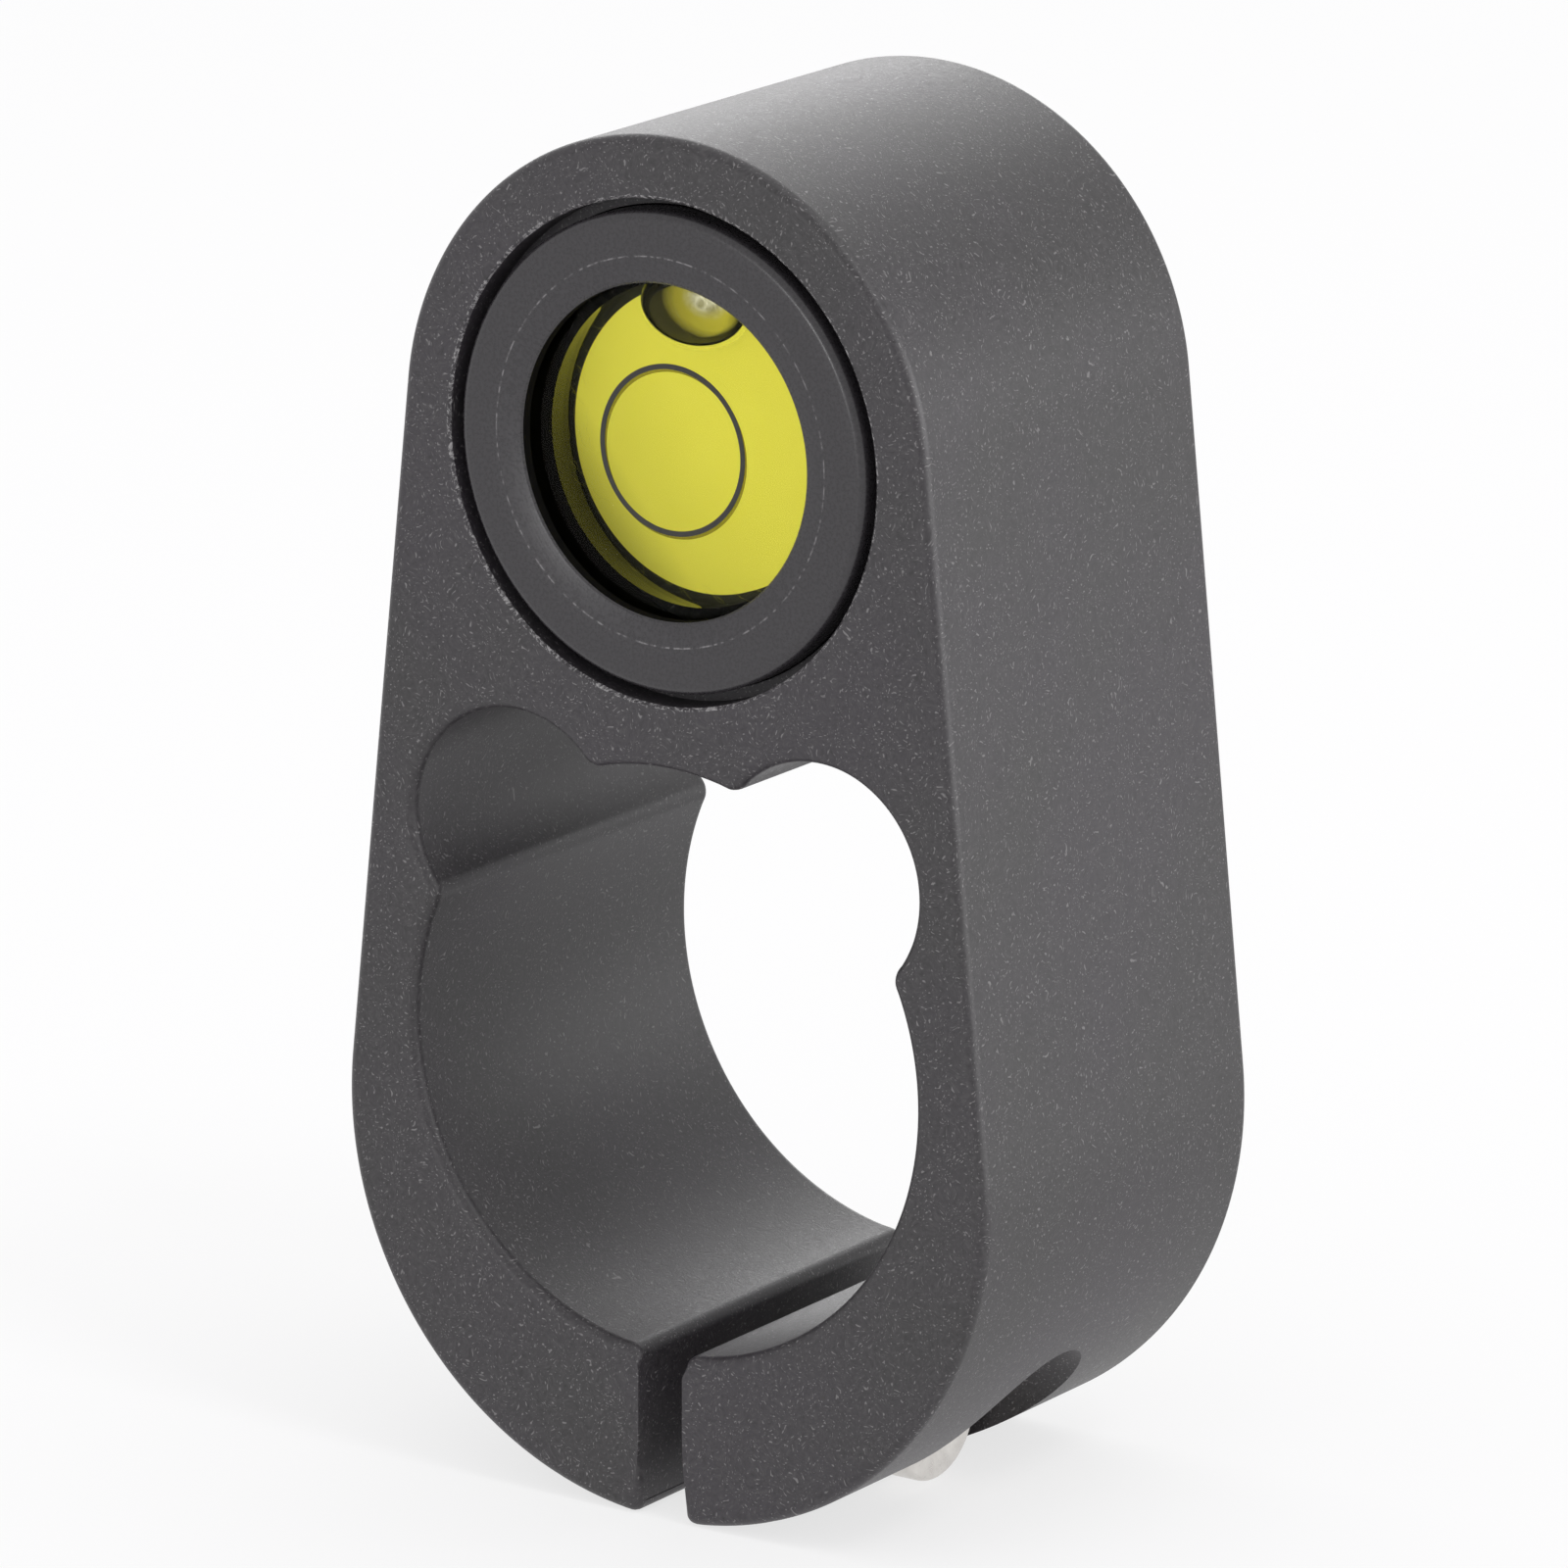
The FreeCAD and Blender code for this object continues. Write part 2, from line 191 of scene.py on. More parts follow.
def clearSelection(obj, kind):
    useOnly(obj)
    bpy.ops.object.mode_set(mode="EDIT")
    bpy.ops.mesh.select_mode(type=kind)
    bpy.ops.mesh.select_all(action="DESELECT")
    leaveEdit()


# These three leave what passes a test selected, in edit mode. Tests are given places in millimetres.
def selectPoints(obj, chosen):
    clearSelection(obj, "VERT")
    for point in obj.data.vertices:
        point.select = chosen(point.co / millimetre)
    bpy.ops.object.mode_set(mode="EDIT")


def selectEdges(obj, chosen):
    clearSelection(obj, "EDGE")
    for edge in obj.data.edges:
        edge.select = chosen(*(obj.data.vertices[i].co / millimetre for i in edge.vertices))
    bpy.ops.object.mode_set(mode="EDIT")


def selectFaces(obj, chosen):
    clearSelection(obj, "FACE")
    for face in obj.data.polygons:
        face.select = chosen(face.center / millimetre, face.normal)
    bpy.ops.object.mode_set(mode="EDIT")


def roundSelected(width, segments, affect="EDGES"):
    bpy.ops.mesh.bevel(offset_type="OFFSET", offset=width * millimetre, segments=segments, profile=0.5,
                       affect=affect, clamp_overlap=False)


def smoothByAngle(obj, degrees=30):
    useOnly(obj)
    bpy.ops.object.shade_smooth_by_angle(angle=math.radians(degrees))


def newMaterial(name, colour, roughness, metallic=0.0):
    material = bpy.data.materials.new(name)
    material.use_nodes = True
    tree = material.node_tree
    shader = tree.nodes["Principled BSDF"]
    shader.inputs["Base Color"].default_value = (*colour, 1.0)
    shader.inputs["Roughness"].default_value = roughness
    shader.inputs["Metallic"].default_value = metallic
    return material, tree, shader


def dress(obj, material):
    obj.data.materials.clear()
    obj.data.materials.append(material)


# Object coordinates, shifted in metres and turned in radians
def objectCoords(tree, shift=(0, 0, 0), turn=(0, 0, 0)):
    coords = tree.nodes.new("ShaderNodeTexCoord")
    mapping = tree.nodes.new("ShaderNodeMapping")
    mapping.inputs["Location"].default_value = shift
    mapping.inputs["Rotation"].default_value = turn
    tree.links.new(coords.outputs["Object"], mapping.inputs["Vector"])
    return mapping.outputs["Vector"]


def coordsFrom(tree, centre):
    return objectCoords(tree, tuple(-value for value in centre))


def splitParts(tree, coords):
    node = tree.nodes.new("ShaderNodeSeparateXYZ")
    tree.links.new(coords, node.inputs["Vector"])
    return node.outputs


def noise(tree, coords, scale, detail=2.0, roughness=0.5, distortion=0.0, output="Fac"):
    node = tree.nodes.new("ShaderNodeTexNoise")
    tree.links.new(coords, node.inputs["Vector"])
    node.inputs["Scale"].default_value = scale
    node.inputs["Detail"].default_value = detail
    node.inputs["Roughness"].default_value = roughness
    node.inputs["Distortion"].default_value = distortion
    return node.outputs[output]


# Stops are pairs of a place from 0 to 1 and a grey or a colour
def ramp(tree, value, *stops):
    node = tree.nodes.new("ShaderNodeValToRGB")
    tree.links.new(value, node.inputs["Fac"])
    elements = node.color_ramp.elements
    while len(elements) < len(stops):
        elements.new(0.5)
    for element, (place, tone) in zip(elements, stops):
        element.position = place
        element.color = (*tone, 1.0) if isinstance(tone, tuple) else (tone, tone, tone, 1.0)
    return node.outputs["Color"]


# A Mix node has its colours at inputs 6 and 7 and at output 2
def mixColour(tree, factor, first, second, blend="MIX"):
    node = tree.nodes.new("ShaderNodeMix")
    node.data_type = "RGBA"
    node.blend_type = blend
    for socket, value in ((node.inputs["Factor"], factor), (node.inputs[6], first), (node.inputs[7], second)):
        if isinstance(value, (float, int)):
            socket.default_value = value
        elif isinstance(value, tuple):
            socket.default_value = (*value, 1.0)
        else:
            tree.links.new(value, socket)
    return node.outputs[2]


def calc(tree, operation, first, second=None):
    node = tree.nodes.new("ShaderNodeMath")
    node.operation = operation
    for socket, value in zip(node.inputs, (first, second)):
        if value is None:
            continue
        if isinstance(value, (float, int)):
            socket.default_value = value
        else:
            tree.links.new(value, socket)
    return node.outputs[0]


# How far a pair of values lies from nought, such as a place's distance from an axis
def pairLength(tree, first, second):
    squares = calc(tree, "ADD", calc(tree, "POWER", first, 2.0), calc(tree, "POWER", second, 2.0))
    return calc(tree, "SQRT", squares)


# 1 where a value is less than a reach away from a middle, else 0
def isNear(tree, value, middle, reach):
    away = calc(tree, "ABSOLUTE", calc(tree, "SUBTRACT", value, middle))
    return calc(tree, "LESS_THAN", away, reach)


def bump(tree, shader, height, depth, strength):
    node = tree.nodes.new("ShaderNodeBump")
    node.inputs["Strength"].default_value = strength
    node.inputs["Distance"].default_value = depth * millimetre
    tree.links.new(height, node.inputs["Height"])
    tree.links.new(node.outputs["Normal"], shader.inputs["Normal"])


clamp = {
    "footRadius": 16.0,
    "footDrop": 3.8,
    "footSides": 256,
    "topRadius": 12.9,
    "topRise": 25.88,
    "topSides": 224,
    "depth": 20.0,
    "edgeRounding": 0.5,
    "edgeSegments": 5,
    "boreRadius": 12.5,
    "boreSides": 256,
    "lobeRadius": 5.0,
    "lobeReach": 4.1,
    "lobeAngle": 40.3,
    "lobeSides": 128,
    "ridgeRounding": 0.472,
    "ridgeSegments": 6,
    "slotWidth": 2.2,
    "slotReach": 26.0,
    "startSlot": 0.4,
    "jawRounding": 0.55,
    "jawSegments": 6,
    "seatRadius": 10.05,
    "seatDepth": 7.5,
    "seatSides": 192,
    "reliefRadius": 10.5,
    "reliefDepth": 1.5,
    "reliefEdge": 0.1,
    "overshoot": 4.0,
    "smoothAngle": 32,
    "normalWeight": 80,
}
screwHole = {
    "axisDrop": 16.35,
    "counterbore": 3.7,
    "counterboreFloor": 4.8,
    "clearance": 1.7,
    "threadRadius": 1.53,
    "threadEnd": -6.3,
    "drillPoint": -7.22,
    "overshoot": 1.0,
    "sides": 96,
}
half = clamp["depth"] / 2
longReach = half + clamp["overshoot"]
lobeWay = clamp["boreRadius"] + clamp["lobeReach"] - clamp["lobeRadius"]
lobeX = lobeWay * math.sin(math.radians(clamp["lobeAngle"]))
lobeZ = lobeWay * math.cos(math.radians(clamp["lobeAngle"]))
exact = 0.001    # same place on a flat wall
near = 0.02    # same place on a wall of facets
squareOn = 0.999    # least part of a normal that points along the block on its flat faces
roundingSpread = 1.4    # free space that a rounding needs beside it, in its own widths


def isOnBore(spot):
    return abs(math.hypot(spot.x, spot.z) - clamp["boreRadius"]) < near


def isOnLobe(spot):
    return abs(math.hypot(abs(spot.x) - lobeX, spot.z - lobeZ) - clamp["lobeRadius"]) < near


def isRidge(spot):
    return isOnBore(spot) and isOnLobe(spot)


def isOnFlatFace(spot):
    return abs(abs(spot.y) - half) < exact


# On a wall of a slot of some width, below the bore
def isOnSlotWall(spot, width):
    return abs(abs(spot.x) - width / 2) < exact and spot.z < 0


# The edges of a flat face, without those that the narrow first slot cut
def isRim(first, second):
    onCut = isOnSlotWall(first, clamp["startSlot"]) and isOnSlotWall(second, clamp["startSlot"])
    return isOnFlatFace(first) and abs(first.y - second.y) < exact and not onCut


# The corners of the jaws run along the slot's walls, but not across the flat faces
def isJawCorner(first, second):
    onWall = isOnSlotWall(first, clamp["slotWidth"]) and isOnSlotWall(second, clamp["slotWidth"])
    return onWall and not (isOnFlatFace(first) and abs(first.y - second.y) < exact)


# Places so close to the slot that the rounding of its corners would run over them
def isBesideSlot(spot):
    past = abs(spot.x) - clamp["slotWidth"] / 2
    return spot.z < 0 and -near < past < roundingSpread * clamp["jawRounding"]


# The lines there that run along the block
def isLineBesideSlot(first, second):
    return isBesideSlot(first) and isBesideSlot(second) and first.y * second.y < 0


# A cylinder along the bore, as a start for the block and for what is cut from it
def rodAlong(name, radius, x, z, reach, sides):
    deselectAll()
    place = Vector((x, 0, z)) * millimetre
    bpy.ops.mesh.primitive_cylinder_add(vertices=sides, radius=radius * millimetre, location=place,
                                        depth=2 * reach * millimetre, rotation=(math.radians(90), 0, 0))
    rod = bpy.context.object
    rod.name = name
    applyPlace(rod)
    return rod


def slotBox(width):
    deselectAll()
    deep = clamp["slotReach"] * millimetre
    bpy.ops.mesh.primitive_cube_add(size=1, location=(0, 0, -deep / 2),
                                    scale=(width * millimetre, 2 * longReach * millimetre, deep))
    box = bpy.context.object
    applyPlace(box)
    return box


# The block is the hull of the foot's cylinder and the top's
clampBody = rodAlong("clampBody", clamp["footRadius"], 0, -clamp["footDrop"], half, clamp["footSides"])
rodAlong("topRod", clamp["topRadius"], 0, clamp["topRise"], half, clamp["topSides"])
joinInto(clampBody)
editAll(clampBody)
bpy.ops.mesh.convex_hull()
bpy.ops.mesh.select_all(action="SELECT")
bpy.ops.mesh.dissolve_limited(angle_limit=math.radians(flatAngle))
leaveEdit()
selectEdges(clampBody, isLineBesideSlot)
bpy.ops.mesh.dissolve_edges(use_verts=True)
leaveEdit()

hollow = rodAlong("hollow", clamp["boreRadius"], 0, 0, longReach, clamp["boreSides"])
for side in (-1, 1):
    lobe = rodAlong("lobe", clamp["lobeRadius"], side * lobeX, lobeZ, longReach, clamp["lobeSides"])
    combine(hollow, lobe, "UNION")

# Only the outline of the hollow is kept, its four ridges are rounded on the flat, and it is drawn out again
selectPoints(hollow, lambda spot: spot.y > 0)
bpy.ops.mesh.delete(type="VERT")
bpy.ops.mesh.select_all(action="SELECT")
bpy.ops.mesh.dissolve_faces()
leaveEdit()
ridges = [point.co / millimetre for point in hollow.data.vertices if isRidge(point.co / millimetre)]
print("  ridges", len(ridges), "outline faces", len(hollow.data.polygons))


# Points so close to a ridge that its rounding would run over them
def isBesideRidge(spot):
    away = min((spot - ridge).length for ridge in ridges)
    return near / 2 < away < roundingSpread * clamp["ridgeRounding"]


selectPoints(hollow, lambda spot: isBesideRidge(spot) or isBesideSlot(spot))
bpy.ops.mesh.dissolve_verts()
leaveEdit()
selectPoints(hollow, isRidge)
roundSelected(clamp["ridgeRounding"], clamp["ridgeSegments"], "VERTICES")
bpy.ops.mesh.select_all(action="SELECT")
bpy.ops.mesh.extrude_region_move(TRANSFORM_OT_translate={"value": (0, 2 * longReach * millimetre, 0)})
leaveOutward()
combine(clampBody, hollow, "DIFFERENCE")

# A narrow first slot opens the section, so that each flat face has one loop to round
combine(clampBody, slotBox(clamp["startSlot"]), "DIFFERENCE")
selectEdges(clampBody, isRim)
roundSelected(clamp["edgeRounding"], clamp["edgeSegments"])
leaveEdit()

# Seat of the level: a relief at the front, and behind it the hole that the case is pressed into
selectFaces(clampBody, lambda spot, normal: isOnFlatFace(spot) and abs(normal.y) > squareOn)
bpy.ops.mesh.delete(type="ONLY_FACE")
leaveEdit()
turnProfile("seatWall", [
    (clamp["reliefRadius"] + clamp["reliefEdge"], 0.0),
    (clamp["reliefRadius"], clamp["reliefEdge"]),
    (clamp["reliefRadius"], clamp["reliefDepth"]),
    (clamp["seatRadius"], clamp["reliefDepth"]),
    (clamp["seatRadius"], clamp["seatDepth"]),
    (0, clamp["seatDepth"]),
], clamp["seatSides"], vialCentre)
joinInto(clampBody)

# Each flat face is filled anew between its outline and what opens in it
for faceY in (-half, half):
    selectEdges(clampBody, lambda first, second: max(abs(first.y - faceY), abs(second.y - faceY)) < exact)
    bpy.ops.mesh.fill(use_beauty=True)
    leaveEdit()
editAll(clampBody)
leaveOutward()

# The full slot, its corners, and the holes of the screw
combine(clampBody, slotBox(clamp["slotWidth"]), "DIFFERENCE", clean=False)
selectEdges(clampBody, isJawCorner)
roundSelected(clamp["jawRounding"], clamp["jawSegments"])
leaveEdit()

holeCentre = Vector((0, 0, -screwHole["axisDrop"])) * millimetre
holeMouth = clamp["footRadius"] + screwHole["overshoot"]
holeTool = turnProfile("holeTool", [
    (0, holeMouth),
    (screwHole["counterbore"], holeMouth),
    (screwHole["counterbore"], screwHole["counterboreFloor"]),
    (screwHole["clearance"], screwHole["counterboreFloor"]),
    (screwHole["clearance"], 0.0),
    (screwHole["threadRadius"], 0.0),
    (screwHole["threadRadius"], screwHole["threadEnd"]),
    (0, screwHole["drillPoint"]),
], screwHole["sides"], holeCentre, "x")
combine(clampBody, holeTool, "DIFFERENCE", clean=False)


bodyLook = {
    "tone": (0.031, 0.0285, 0.0305),
    "toneTinted": (0.0335, 0.0285, 0.035),
    "toneLight": (0.058, 0.054, 0.057),
    "toneDark": (0.013, 0.012, 0.0125),
    "roughness": 0.45,
    "turn": (0.61, 0.47, 0.29),    # radians, so that the grain lies square to no face
    "driftScale": 700.0,
    "driftReach": 1.6,
    "cloudScale": 95.0,
    "cloudStops": ((0.4, 0.0), (0.62, 1.0)),
    "grainScale": 5200.0,
    "lightStops": ((0.5, 0.0), (0.68, 1.0)),
    "darkStops": ((0.32, 0.8), (0.46, 0.0)),
    "dullStops": ((0.3, 0.38), (0.7, 0.54)),
    "grainDepth": 0.025,
    "grainStrength": 0.5,
    "paintedGlint": (0.17, 0.162, 0.166),
    "paintedGlintScale": 9500.0,
    "paintedGlintStops": ((0.68, 0.0), (0.8, 1.0)),
    "seatPaintedGlint": (0.3, 0.29, 0.295),
    "seatEdgeOut": 0.06,
    "seatEdgeHalf": 0.08,
    "seatEdgeDepth": 0.14,
    "seatGlintStops": ((0.5, 0.0), (0.6, 1.0)),
}


# Blasted and anodised: fine mottled grain, slow changes of tint, small painted glints and a painted glint
# along the broken edge of the seat
def anodisedMaterial():
    look = bodyLook
    material, tree, shader = newMaterial("anodisedBody", look["tone"], look["roughness"])
    plain = objectCoords(tree, turn=look["turn"])
    drift = noise(tree, plain, look["driftScale"], output="Color")
    drifted = tree.nodes.new("ShaderNodeVectorMath")    # breaks up what would look like rows in the grain
    drifted.operation = "MULTIPLY_ADD"
    drifted.inputs[1].default_value = [look["driftReach"] * millimetre] * 3
    tree.links.new(drift, drifted.inputs[0])
    tree.links.new(plain, drifted.inputs[2])
    coords = drifted.outputs["Vector"]
    grain = noise(tree, coords, look["grainScale"], 4.0, 0.75)
    cloud = noise(tree, plain, look["cloudScale"])
    speck = noise(tree, coords, look["paintedGlintScale"], 0.0)
    tone = mixColour(tree, ramp(tree, cloud, *look["cloudStops"]), look["tone"], look["toneTinted"])
    tone = mixColour(tree, ramp(tree, grain, *look["lightStops"]), tone, look["toneLight"])
    tone = mixColour(tree, ramp(tree, grain, *look["darkStops"]), tone, look["toneDark"])
    # painted glints: small bright spots mixed into the colour, standing in for sparkle off the blasted surface
    tone = mixColour(tree, ramp(tree, speck, *look["paintedGlintStops"]), tone, look["paintedGlint"])
    spot = splitParts(tree, coordsFrom(tree, vialCentre))
    # painted glint: a light line, broken by the grain, along the seat's broken edge
    edgeMiddle = (clamp["reliefRadius"] + look["seatEdgeOut"]) * millimetre
    fromAxis = pairLength(tree, spot["X"], spot["Z"])
    onEdge = isNear(tree, fromAxis, edgeMiddle, look["seatEdgeHalf"] * millimetre)
    onFront = calc(tree, "LESS_THAN", spot["Y"], look["seatEdgeDepth"] * millimetre)
    broken = ramp(tree, grain, *look["seatGlintStops"])
    paintedSeatGlint = calc(tree, "MULTIPLY", calc(tree, "MULTIPLY", onEdge, onFront), broken)
    tone = mixColour(tree, paintedSeatGlint, tone, look["seatPaintedGlint"])
    tree.links.new(tone, shader.inputs["Base Color"])
    tree.links.new(ramp(tree, grain, *look["dullStops"]), shader.inputs["Roughness"])
    bump(tree, shader, grain, look["grainDepth"], look["grainStrength"])
    return material


smoothByAngle(clampBody, clamp["smoothAngle"])
steady = clampBody.modifiers.new("steadyNormals", "WEIGHTED_NORMAL")
steady.keep_sharp = True
steady.weight = clamp["normalWeight"]
applyAll(clampBody)
dress(clampBody, anodisedMaterial())
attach(clampBody, "root")
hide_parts("clamp_body")
print("clamp body", len(clampBody.data.polygons))


levelCase = {
    "sides": 192,
    "windowRadius": 7.0,
    "windowEdge": 0.08,
    "dishRadius": 8.1,
    "dishDepth": 0.2,
    "outerRadius": 10.0,
    "rimRounding": 0.4,
    "rimSteps": 6,
    "height": 7.5,
    "boreRadius": 8.45,
    "lipDepth": 0.9,
    "undercut": 0.15,
    "insideDepth": 0.3,
    "tone": (0.027, 0.0245, 0.0275),
    "toneLight": (0.04, 0.0365, 0.041),
    "roughness": 0.36,
    "ringScale": 9000.0,
    "grainScale": 6500.0,
    "lightStops": ((0.42, 0.0), (0.72, 1.0)),
    "dullStops": ((0.3, 0.22), (0.7, 0.36)),
    "grainDepth": 0.01,
    "grainStrength": 0.5,
    "scuffTone": (0.2, 0.19, 0.197),
    "scuffRadius": 8.08,
    "scuffHalf": 0.03,
    "scuffShift": (-0.06, 0.0, 0.05),
    "scuffScale": 3200.0,
    "scuffStops": ((0.45, 0.0), (0.6, 1.0)),
}
caseInsidePaintedShade = {
    "tone": (0.003, 0.0028, 0.003),
    "toneLight": (0.006, 0.0055, 0.006),
    "roughness": 0.8,
    "specular": 0.06,
    "grainScale": 2400.0,
    "grainDepth": 0.01,
    "grainStrength": 0.4,
}


# Turned and anodised: fine rings, soft grain and a broken scuff round the edge of the dish
def caseMaterial():
    look = levelCase
    material, tree, shader = newMaterial("levelCase", look["tone"], look["roughness"])
    coords = coordsFrom(tree, vialCentre)
    spot = splitParts(tree, coords)
    rings = tree.nodes.new("ShaderNodeTexNoise")
    rings.noise_dimensions = "1D"
    rings.inputs["Scale"].default_value = look["ringScale"]
    rings.inputs["Detail"].default_value = 2.0
    tree.links.new(pairLength(tree, spot["X"], spot["Z"]), rings.inputs["W"])
    grain = noise(tree, coords, look["grainScale"], 2.0, 0.6)
    tone = mixColour(tree, ramp(tree, grain, *look["lightStops"]), look["tone"], look["toneLight"])
    scuffCentre = vialCentre + Vector(look["scuffShift"]) * millimetre
    scuffSpot = splitParts(tree, coordsFrom(tree, scuffCentre))
    fromScuff = pairLength(tree, scuffSpot["X"], scuffSpot["Z"])
    scuffLine = isNear(tree, fromScuff, look["scuffRadius"] * millimetre, look["scuffHalf"] * millimetre)
    broken = ramp(tree, noise(tree, coords, look["scuffScale"]), *look["scuffStops"])
    tone = mixColour(tree, calc(tree, "MULTIPLY", scuffLine, broken), tone, look["scuffTone"])
    tree.links.new(tone, shader.inputs["Base Color"])
    tree.links.new(ramp(tree, grain, *look["dullStops"]), shader.inputs["Roughness"])
    height = calc(tree, "MULTIPLY", calc(tree, "ADD", rings.outputs["Fac"], grain), 0.5)
    bump(tree, shader, height, look["grainDepth"], look["grainStrength"])
    return material


# Painted shade: black and dull where the cup sits, far darker than the case outside, so that no yellow shows
# in the wall behind the glass
def paintedShadeInsideMaterial():
    look = caseInsidePaintedShade
    material, tree, shader = newMaterial("caseInsidePaintedShade", look["tone"], look["roughness"])
    grain = noise(tree, objectCoords(tree), look["grainScale"])
    tree.links.new(mixColour(tree, grain, look["tone"], look["toneLight"]), shader.inputs["Base Color"])
    shader.inputs["Specular IOR Level"].default_value = look["specular"]
    bump(tree, shader, grain, look["grainDepth"], look["grainStrength"])
    return material


vialCase = turnProfile("vialCase", [
    (levelCase["windowRadius"], levelCase["dishDepth"] + levelCase["windowEdge"]),
    (levelCase["windowRadius"] + levelCase["windowEdge"], levelCase["dishDepth"]),
    (levelCase["dishRadius"], 0.0),
] + roundedRim(levelCase["outerRadius"], levelCase["rimRounding"], levelCase["rimSteps"]) + [
    (levelCase["outerRadius"], levelCase["height"]),
    (levelCase["boreRadius"], levelCase["height"]),
    (levelCase["boreRadius"], levelCase["lipDepth"]),
    (levelCase["windowRadius"] + levelCase["undercut"], levelCase["lipDepth"]),
    (levelCase["windowRadius"], levelCase["lipDepth"] - levelCase["undercut"]),
    (levelCase["windowRadius"], levelCase["dishDepth"] + levelCase["windowEdge"]),
], levelCase["sides"], vialCentre)
smoothByAngle(vialCase)
dress(vialCase, caseMaterial())
vialCase.data.materials.append(paintedShadeInsideMaterial())
# the faces inside the bore take the painted shade
for face in vialCase.data.polygons:
    spot = (face.center - vialCentre) / millimetre
    if spot.y > levelCase["insideDepth"] and math.hypot(spot.x, spot.z) < levelCase["boreRadius"] + exact:
        face.material_index = 1
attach(vialCase, "root")
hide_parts("vial_housing")
print("case of the level")


levelGlass = {
    "sides": 160,
    "front": 0.9,
    "cupRadius": 8.46,
    "cupBack": 7.5,
    "cavityRadius": 6.75,
    "windowBack": 2.7,
    "domeRise": 0.25,
    "domeSteps": 10,
    "plugFace": 4.6,
    "plugStep": 5.1,
    "bossRadius": 6.45,
    "skin": 0.01,
}
clearLook = {
    "mirror": (0.06, 0.06, 0.06),
    "hazeScale": 900.0,
    "hazeLow": 0.6,    # shares of the roughness
    "hazeHigh": 1.6,
    "cupTone": (0.95, 0.96, 0.95),
    "cupIndex": 1.49,
    "cupRoughness": 0.015,
    "liquidTone": (0.96, 0.95, 0.62),
    "liquidIndex": 1.4,
    "liquidRoughness": 0.01,
    "scratchScale": 260.0,
    "scratchDistortion": 14.0,
    "scratchTurn": (0.2, 0.7, 0.5),    # radians
    "scratchOver": 0.997,
    "scratchDepth": 0.004,
    "scratchStrength": 0.35,
}
plugLook = {
    "tone": (0.9, 0.84, 0.1),
    "toneLow": (0.86, 0.79, 0.085),
    "toneScale": 400.0,
    "roughness": 0.5,
    "paintedGlow": 0.62,
    "shadeWay": (-0.78, -0.62),
    "shadeSpan": 13.0,
    "shadeStops": ((0.0, 1.0), (0.5, 0.93), (0.82, 0.78), (0.98, 0.42)),
    "edgeTone": (0.012, 0.012, 0.008),
    "edgeOut": 0.02,
    "grainScale": 2500.0,
    "grainDepth": 0.01,
    "grainStrength": 0.3,
}
printed = {
    "outer": 3.57,
    "line": 0.22,
    "thickness": 0.03,
    "sides": 128,
    "tone": (0.02, 0.02, 0.018),
    "toneLow": (0.012, 0.012, 0.01),
    "toneHigh": (0.035, 0.033, 0.03),
    "roughness": 0.6,
    "grainScale": 5000.0,
}
echo = {
    "radius": 3.46,
    "line": 0.2,
    "across": 0.1,
    "up": -0.12,
    "depth": 0.05,
    "tone": (0.16, 0.14, 0.08),
}
bubble = {
    "width": 5.3,
    "height": 3.5,
    "front": 2.74,
    "back": 4.5,
    "drop": 1.1,
    "sides": 96,
    "edgeSteps": 10,
    "index": 1.4,
    "mirror": (0.1, 0.1, 0.1),
    "roughness": 0.01,
    "shade": (0.36, 0.34, 0.34),
    "clear": (0.62, 0.6, 0.55),
    "sideStops": ((0.1, 0.0), (0.6, 1.0)),
    "rim": (0.003, 0.003, 0.002),
    "rimStops": ((0.72, 0.0), (0.9, 1.0)),
    "paintedGleamVeil": (0.1, 0.095, 0.09),
    "veilStops": ((0.5, 1.0), (1.0, 0.0)),
    "paintedGleam": (0.7, 0.69, 0.69),
    "gleamPlace": (0.34, 0.3),    # in half widths and half heights
    "gleamTight": (2.1, 2.0),
    "gleamStops": ((0.1, 1.0), (0.55, 0.42), (1.0, 0.0)),
    "brokenScale": 1900.0,
    "brokenStops": ((0.35, 0.35), (0.65, 1.0)),
}


def clearMaterial(name, colour, index, roughness):
    look = clearLook
    material, tree, shader = newMaterial(name, colour, roughness)
    shader.inputs["Transmission Weight"].default_value = 1.0
    shader.inputs["IOR"].default_value = index
    shader.inputs["Specular Tint"].default_value = (*look["mirror"], 1.0)
    haze = noise(tree, objectCoords(tree), look["hazeScale"])
    uneven = ramp(tree, haze, (0.45, roughness * look["hazeLow"]), (0.8, roughness * look["hazeHigh"]))
    tree.links.new(uneven, shader.inputs["Roughness"])
    return material, tree, shader


# The clear cup has hair-fine scratches and, on its face, a faint darker ring drawn just beside the printed
# ring
def cupMaterial():
    look = clearLook
    clear = look["cupTone"]
    material, tree, shader = clearMaterial("clearCup", clear, look["cupIndex"], look["cupRoughness"])
    echoCentre = vialCentre + Vector((echo["across"], 0, echo["up"])) * millimetre
    spot = splitParts(tree, coordsFrom(tree, echoCentre))
    fromEcho = pairLength(tree, spot["X"], spot["Z"])
    ring = isNear(tree, fromEcho, echo["radius"] * millimetre, echo["line"] / 2 * millimetre)
    atFace = calc(tree, "LESS_THAN", spot["Y"], (levelGlass["front"] + echo["depth"]) * millimetre)
    tone = mixColour(tree, calc(tree, "MULTIPLY", ring, atFace), clear, echo["tone"])
    tree.links.new(tone, shader.inputs["Base Color"])
    waves = tree.nodes.new("ShaderNodeTexWave")
    waves.inputs["Scale"].default_value = look["scratchScale"]
    waves.inputs["Distortion"].default_value = look["scratchDistortion"]
    waves.inputs["Detail"].default_value = 3.0
    tree.links.new(objectCoords(tree, turn=look["scratchTurn"]), waves.inputs["Vector"])
    scratch = calc(tree, "GREATER_THAN", waves.outputs["Fac"], look["scratchOver"])
    bump(tree, shader, scratch, look["scratchDepth"], look["scratchStrength"])
    return material
